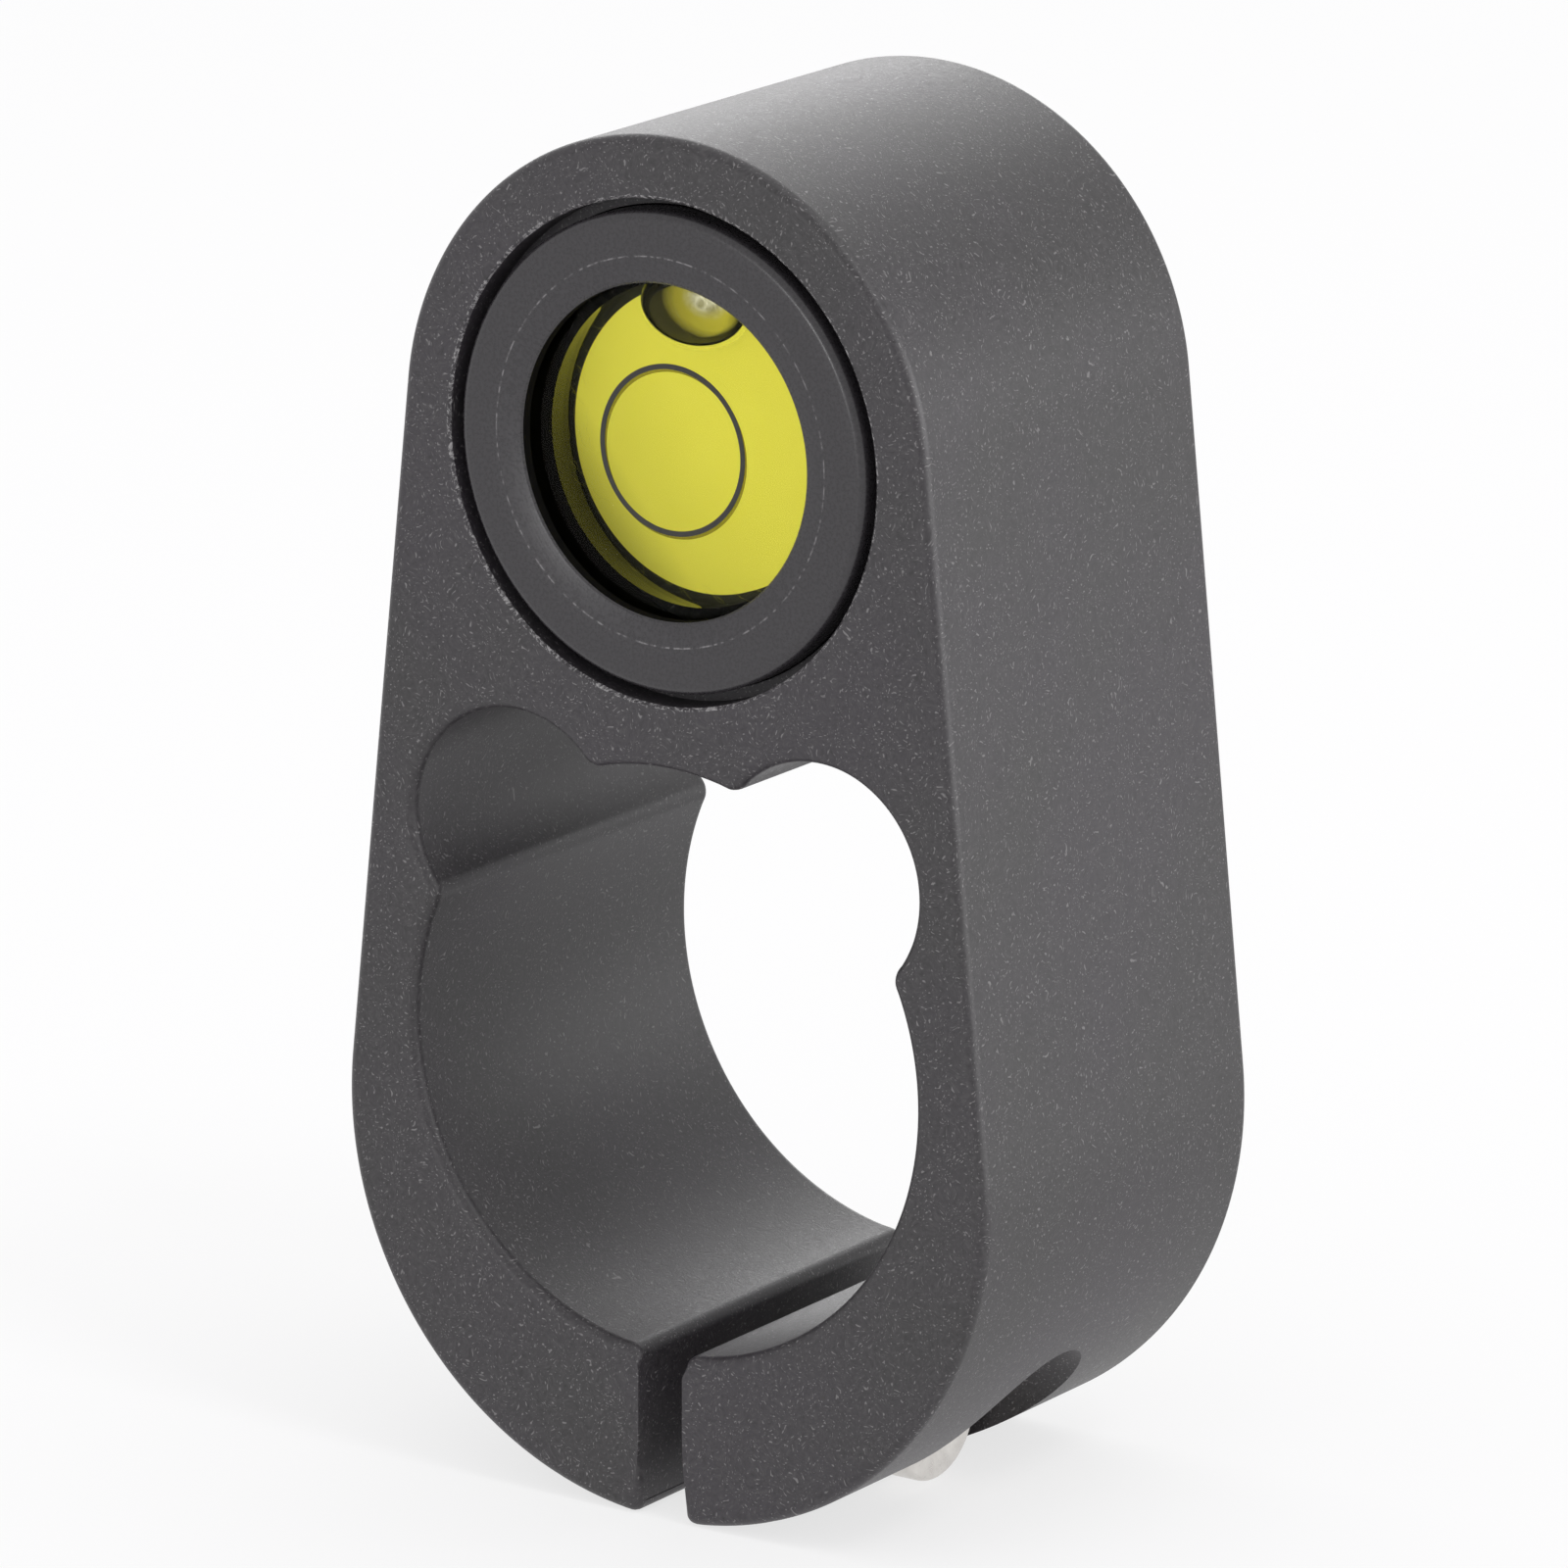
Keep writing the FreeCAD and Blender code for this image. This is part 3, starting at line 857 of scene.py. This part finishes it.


# The plug has a painted glow, standing in for fluorescent plastic. It has painted shade at its lower left and
# is dark at its edge.
def plugMaterial():
    look = plugLook
    material, tree, shader = newMaterial("palePlug", look["tone"], look["roughness"])
    coords = coordsFrom(tree, vialCentre)
    spot = splitParts(tree, coords)
    # painted shade, darker towards the lower left
    wayX, wayZ = (value / (look["shadeSpan"] * millimetre) for value in look["shadeWay"])
    across = calc(tree, "MULTIPLY", spot["X"], wayX)
    down = calc(tree, "MULTIPLY", spot["Z"], wayZ)
    toShade = calc(tree, "ADD", calc(tree, "ADD", across, down), 0.5)
    shade = ramp(tree, toShade, *look["shadeStops"])
    tone = mixColour(tree, noise(tree, coords, look["toneScale"]), look["toneLow"], look["tone"])
    tone = mixColour(tree, 1.0, tone, shade, "MULTIPLY")
    edgeStart = (levelGlass["bossRadius"] + look["edgeOut"]) * millimetre
    atEdge = calc(tree, "GREATER_THAN", pairLength(tree, spot["X"], spot["Z"]), edgeStart)
    tone = mixColour(tree, atEdge, tone, look["edgeTone"])
    tree.links.new(tone, shader.inputs["Base Color"])
    # painted glow: the plug gives off its own colour as light
    tree.links.new(tone, shader.inputs["Emission Color"])
    shader.inputs["Emission Strength"].default_value = look["paintedGlow"]
    bump(tree, shader, noise(tree, coords, look["grainScale"]), look["grainDepth"], look["grainStrength"])
    return material


# The wall of the bubble: a painted dark rim, painted olive shade on the left and a painted gleam on the right,
# given off as light
def bubbleMaterial(centre):
    look = bubble
    material, tree, shader = newMaterial("bubbleWall", look["clear"], look["roughness"])
    shader.inputs["Transmission Weight"].default_value = 1.0
    shader.inputs["IOR"].default_value = look["index"]
    shader.inputs["Specular Tint"].default_value = (*look["mirror"], 1.0)
    spot = splitParts(tree, coordsFrom(tree, centre))
    across = calc(tree, "MULTIPLY", spot["X"], 2 / (look["width"] * millimetre))
    up = calc(tree, "MULTIPLY", spot["Z"], 2 / (look["height"] * millimetre))
    fromLeft = calc(tree, "ADD", calc(tree, "MULTIPLY", across, 0.5), 0.5)
    # painted shade on the left, clearing towards the right
    tone = mixColour(tree, ramp(tree, fromLeft, *look["sideStops"]), look["shade"], look["clear"])
    # painted dark rim
    tone = mixColour(tree, ramp(tree, pairLength(tree, across, up), *look["rimStops"]), tone, look["rim"])
    # painted gleam, given off as light
    aside, above = (calc(tree, "MULTIPLY", calc(tree, "SUBTRACT", value, place), tight)
                    for value, place, tight in zip((across, up), look["gleamPlace"], look["gleamTight"]))
    fromGleam = pairLength(tree, aside, above)
    broken = noise(tree, objectCoords(tree), look["brokenScale"], 2.0, 0.6, 1.5)
    paintedGleam = calc(tree, "MULTIPLY", ramp(tree, fromGleam, *look["gleamStops"]),
                 ramp(tree, broken, *look["brokenStops"]))
    # a greyer painted veil under the painted gleam
    tone = mixColour(tree, ramp(tree, fromGleam, *look["veilStops"]), tone, look["paintedGleamVeil"])
    tree.links.new(tone, shader.inputs["Base Color"])
    tree.links.new(mixColour(tree, paintedGleam, (0.0, 0.0, 0.0), look["paintedGleam"]), shader.inputs["Emission Color"])
    shader.inputs["Emission Strength"].default_value = 1.0
    return material


def printMaterial():
    look = printed
    material, tree, shader = newMaterial("printedLine", look["tone"], look["roughness"])
    grain = noise(tree, objectCoords(tree), look["grainScale"], 1.0)
    tree.links.new(mixColour(tree, grain, look["toneLow"], look["toneHigh"]), shader.inputs["Base Color"])
    return material


# The inside of the window bulges forward: depth falls from the cavity's wall to the axis
def domeStations(radius):
    edge, rise, steps = levelGlass["windowBack"], levelGlass["domeRise"], levelGlass["domeSteps"]
    return [(radius * (1 - k / steps), edge - rise * (1 - (1 - k / steps) ** 2)) for k in range(steps + 1)]


vialCup = turnProfile("vialCup", [
    (0, levelGlass["front"]),
    (levelGlass["cupRadius"], levelGlass["front"]),
    (levelGlass["cupRadius"], levelGlass["cupBack"]),
    (levelGlass["cavityRadius"], levelGlass["cupBack"]),
] + domeStations(levelGlass["cavityRadius"]), levelGlass["sides"], vialCentre)
smoothByAngle(vialCup)
dress(vialCup, cupMaterial())
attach(vialCup, "root")
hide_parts("vial_capsule")

vialPlug = turnProfile("vialPlug", [
    (0, levelGlass["plugFace"]),
    (levelGlass["bossRadius"], levelGlass["plugFace"]),
    (levelGlass["bossRadius"], levelGlass["plugStep"]),
    (levelGlass["cavityRadius"], levelGlass["plugStep"]),
    (levelGlass["cavityRadius"], levelGlass["cupBack"]),
    (0, levelGlass["cupBack"]),
], levelGlass["sides"], vialCentre)
smoothByAngle(vialPlug)
dress(vialPlug, plugMaterial())
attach(vialPlug, "root")
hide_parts("vial_base")

printedInner = printed["outer"] - printed["line"]
printedFront = levelGlass["front"] - printed["thickness"]
centreCircle = turnProfile("centreCircle", [
    (printedInner, printedFront),
    (printed["outer"], printedFront),
    (printed["outer"], levelGlass["front"]),
    (printedInner, levelGlass["front"]),
    (printedInner, printedFront),
], printed["sides"], vialCentre)
smoothByAngle(centreCircle)
dress(centreCircle, printMaterial())
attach(centreCircle, "root")
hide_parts("centre_circle")

# The liquid laps a hair into the walls around it, so that no air film shows between them
skin = levelGlass["skin"]
vialLiquid = turnProfile("vialLiquid", [
    (radius, depth - skin) for radius, depth in reversed(domeStations(levelGlass["cavityRadius"] + skin))
] + [
    (levelGlass["cavityRadius"] + skin, levelGlass["plugStep"] + skin),
    (levelGlass["bossRadius"] - skin, levelGlass["plugStep"] + skin),
    (levelGlass["bossRadius"] - skin, levelGlass["plugFace"] + skin),
    (0, levelGlass["plugFace"] + skin),
], levelGlass["sides"], vialCentre)

# The bubble is pressed flat between window and plug, round at its edge, and cut off by the wall above it
bubbleRise = levelGlass["cavityRadius"] - bubble["drop"]
bubbleCentre = vialCentre + Vector((0, 0, bubbleRise)) * millimetre
bubbleEdge = roundedRim(bubble["width"] / 2, (bubble["back"] - bubble["front"]) / 2, bubble["edgeSteps"])
bubbleTool = turnProfile("bubble", [(0, bubble["front"])] + [
    (radius, bubble["front"] + depth) for radius, depth in bubbleEdge
] + [
    (radius, bubble["back"] - depth) for radius, depth in reversed(bubbleEdge[:-1])
] + [(0, bubble["back"])], bubble["sides"], bubbleCentre)
editAll(bubbleTool)
bpy.ops.transform.resize(value=(1, 1, bubble["height"] / bubble["width"]), center_override=bubbleCentre)
leaveEdit()
dress(vialLiquid, clearMaterial("tintedLiquid", clearLook["liquidTone"], clearLook["liquidIndex"],
                                clearLook["liquidRoughness"])[0])
dress(bubbleTool, bubbleMaterial(bubbleCentre))
vialLiquid.data.materials.append(bubbleTool.data.materials[0])
combine(vialLiquid, bubbleTool, "DIFFERENCE", clean=False)
smoothByAngle(vialLiquid)
print("  faces of the bubble", sum(face.material_index == 1 for face in vialLiquid.data.polygons))
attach(vialLiquid, "root")
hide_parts("vial_liquid")
print("cup, liquid, plug and print")


screw = {
    "sides": 96,
    "headRadius": 3.0,
    "headHeight": 2.35,
    "headRounding": 0.25,
    "headSteps": 5,
    "shankRadius": 1.5,
    "coreRadius": 1.22,
    "length": 10.0,
    "plainLength": 1.0,
    "shoulder": 0.28,
    "endChamfer": 0.3,
    "socketWidth": 2.5,
    "socketDepth": 1.3,
    "socketPoint": 0.4,
    "socketMouth": 1.0,
    "pitch": 0.5,
    "threadBlank": 0.2,
    "threadWiden": 1.3,    # a factor
    "threadSink": 0.06,
    "threadLap": 0.1,
    "threadSpare": 0.3,
    "turnSteps": 36,
    "smoothAngle": 25,
}
screwLook = {
    "tone": (0.63, 0.6, 0.57),
    "toneLow": (0.6, 0.575, 0.55),
    "toneHigh": (0.72, 0.7, 0.67),
    "speck": (0.4, 0.38, 0.36),
    "roughness": 0.3,
    "grainScale": 1500.0,
    "dullStops": ((0.3, 0.24), (0.75, 0.44)),
    "speckScale": 7000.0,
    "speckStops": ((0.62, 0.0), (0.75, 0.5)),
    "speckDepth": 0.008,
    "speckStrength": 0.4,
}


# Steel with a soft grain, fine dark specks and a slightly uneven shine
def steelMaterial():
    look = screwLook
    material, tree, shader = newMaterial("stainlessScrew", look["tone"], look["roughness"], 1.0)
    coords = coordsFrom(tree, screwCentre)
    grain = noise(tree, coords, look["grainScale"], 3.0, 0.6)
    speckle = noise(tree, coords, look["speckScale"], 2.0, 0.6)
    tree.links.new(ramp(tree, grain, *look["dullStops"]), shader.inputs["Roughness"])
    tone = mixColour(tree, grain, look["toneLow"], look["toneHigh"])
    tone = mixColour(tree, ramp(tree, speckle, *look["speckStops"]), tone, look["speck"])
    tree.links.new(tone, shader.inputs["Base Color"])
    bump(tree, shader, speckle, look["speckDepth"], look["speckStrength"])
    return material


threadStart = -screw["headHeight"] - screw["plainLength"]
tip = -screw["headHeight"] - screw["length"]
headRim = roundedRim(screw["headRadius"], screw["headRounding"], screw["headSteps"])
clampScrew = turnProfile("clampScrew", [(0, 0.0)] + [
    (radius, -depth) for radius, depth in headRim
] + [
    (screw["headRadius"], -screw["headHeight"]),
    (screw["shankRadius"], -screw["headHeight"]),
    (screw["shankRadius"], threadStart + screw["shoulder"]),
    (screw["coreRadius"], threadStart),
    (screw["coreRadius"], tip + screw["endChamfer"]),
    (screw["coreRadius"] - screw["endChamfer"], tip),
    (0, tip),
], screw["sides"], screwCentre, "x")

# Hexagon socket with a shallow point at its floor
cornerRadius = screw["socketWidth"] / math.sqrt(3)
socket = turnProfile("socket", [
    (0, screw["socketMouth"]),
    (cornerRadius, screw["socketMouth"]),
    (cornerRadius, -screw["socketDepth"]),
    (0, -screw["socketDepth"] - screw["socketPoint"]),
], 6, screwCentre, "x")
combine(clampScrew, socket, "DIFFERENCE")

# The thread is a small triangle wound round the core and joined to it
deselectAll()
bpy.ops.mesh.primitive_circle_add(vertices=3, radius=screw["threadBlank"] * millimetre, location=(0, 0, 0),
                                  rotation=(math.radians(90), 0, 0), fill_type="NOTHING")
thread = bpy.context.object
thread.name = "thread"
applyPlace(thread)
peak = max(point.co.z for point in thread.data.vertices)
foot = min(point.co.z for point in thread.data.vertices)
tall = (screw["shankRadius"] - screw["coreRadius"] + screw["threadSink"]) * millimetre / (peak - foot)
editAll(thread)
bpy.ops.transform.resize(value=(screw["threadWiden"], 1, tall), center_override=(0, 0, peak))
bpy.ops.transform.translate(value=(0, 0, screw["shankRadius"] * millimetre - peak))
leaveEdit()
threadLength = screw["length"] - screw["plainLength"] - 2 * screw["endChamfer"] - screw["threadSpare"]
wind = thread.modifiers.new("wind", "SCREW")
wind.axis = "X"
wind.angle = math.radians(360)
wind.screw_offset = -screw["pitch"] * millimetre
wind.iterations = int(threadLength / screw["pitch"])
wind.steps = screw["turnSteps"]
wind.render_steps = screw["turnSteps"]
wind.use_normal_calculate = True
applyAll(thread)
selectOpenEdges(useWire=False)
bpy.ops.mesh.fill(use_beauty=True)
leaveOutward()
thread.location = screwCentre + Vector((threadStart - screw["threadLap"], 0, 0)) * millimetre
applyPlace(thread)
combine(clampScrew, thread, "UNION", clean=False)
smoothByAngle(clampScrew, screw["smoothAngle"])
dress(clampScrew, steelMaterial())
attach(clampScrew, "root")
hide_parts("clamp_screw")
print("screw", len(clampScrew.data.polygons))


# Sizes and places of the studio are in metres and powers in watts
studio = {
    "floorSize": 6.0,
    "floorTone": (0.25, 0.248, 0.252),
    "floorToneLight": (0.258, 0.256, 0.26),
    "floorScale": 3.0,
    "floorRoughness": 0.8,
    "floorGlow": 0.72,
    "sky": (1.0, 1.0, 1.0),
    "skyStrength": 0.86,
}
softBoxes = {
    "topBox": {"place": (0.1, 0.15, 0.7), "target": (0, 0, 0.01), "size": (0.7, 0.7), "power": 0.9},
    "keyBox": {"place": (0.4, -0.1, 0.55), "target": (0, 0, 0.01), "size": (0.14, 0.14), "power": 0.7},
}
# These only show as a shine on the piece and light nothing else
shineBoxes = {
    "sideShine": {"place": (0.7, 0.15, 0.08), "target": (0, 0, 0.0), "size": (0.7, 0.5), "power": 6.5},
    "backShine": {"place": (-0.5, 0.8, 0.35), "target": (0, 0, 0.02), "size": (0.8, 0.5), "power": 3.4},
    "dishShine": {"place": (-0.13, -0.6, 0.05), "target": (0, 0, 0.026), "size": (0.12, 0.12), "power": 0.4},
}


# Pale paper that gives off some light of its own, for an even background
def floorMaterial():
    material, tree, shader = newMaterial("floorPaper", studio["floorTone"], studio["floorRoughness"])
    shader.inputs["Specular IOR Level"].default_value = 0.0
    shader.inputs["Emission Color"].default_value = (1.0, 1.0, 1.0, 1.0)
    shader.inputs["Emission Strength"].default_value = studio["floorGlow"]
    cloud = noise(tree, objectCoords(tree), studio["floorScale"])
    tree.links.new(mixColour(tree, cloud, studio["floorTone"], studio["floorToneLight"]),
                   shader.inputs["Base Color"])
    return material


def addBox(name, box, shineOnly):
    lamp = bpy.data.lights.new(name, "AREA")
    lamp.shape = "RECTANGLE"
    lamp.size, lamp.size_y = box["size"]
    lamp.energy = box["power"]
    obj = bpy.data.objects.new(name, lamp)
    scene.collection.objects.link(obj)
    obj.location = box["place"]
    obj.rotation_euler = (Vector(box["target"]) - Vector(box["place"])).to_track_quat("-Z", "Y").to_euler()
    obj.visible_diffuse = not shineOnly
    obj.visible_camera = False


deselectAll()
bpy.ops.mesh.primitive_plane_add(size=studio["floorSize"], location=(0, 0, cadLow.z))
floor = bpy.context.object
floor.name = "studioFloor"
applyPlace(floor)
dress(floor, floorMaterial())

world = bpy.data.worlds.new("studioSky")
world.use_nodes = True
background = world.node_tree.nodes["Background"]
background.inputs["Color"].default_value = (*studio["sky"], 1.0)
background.inputs["Strength"].default_value = studio["skyStrength"]
scene.world = world

for name, box in softBoxes.items():
    addBox(name, box, shineOnly=False)
for name, box in shineBoxes.items():
    addBox(name, box, shineOnly=True)

# Camera solved from the outline, the bore and the window; places are in metres and the sensor in millimetres
cameraFit = {
    "eye": (0.25512, -0.37417, 0.13268),
    "right": (0.82508, 0.56501, 0.00264),
    "down": (0.15020, -0.21483, -0.96503),
    "forward": (-0.54468, 0.79663, -0.26212),
    "focalPixels": 11540.8,
    "imagePixels": 1600,
    "sensor": 36.0,
    "clipStart": 0.02,
    "clipEnd": 20.0,
}
cameraData = bpy.data.cameras.new("studioCamera")
cameraData.sensor_width = cameraFit["sensor"]
cameraData.lens = cameraFit["focalPixels"] / cameraFit["imagePixels"] * cameraFit["sensor"]
cameraData.clip_start = cameraFit["clipStart"]
cameraData.clip_end = cameraFit["clipEnd"]
camera = bpy.data.objects.new("studioCamera", cameraData)
scene.collection.objects.link(camera)
axes = Matrix((cameraFit["right"], [-value for value in cameraFit["down"]],
               [-value for value in cameraFit["forward"]])).transposed()
camera.matrix_world = Matrix.Translation(Vector(cameraFit["eye"])) @ axes.to_4x4()
scene.camera = camera
print("studio and camera")
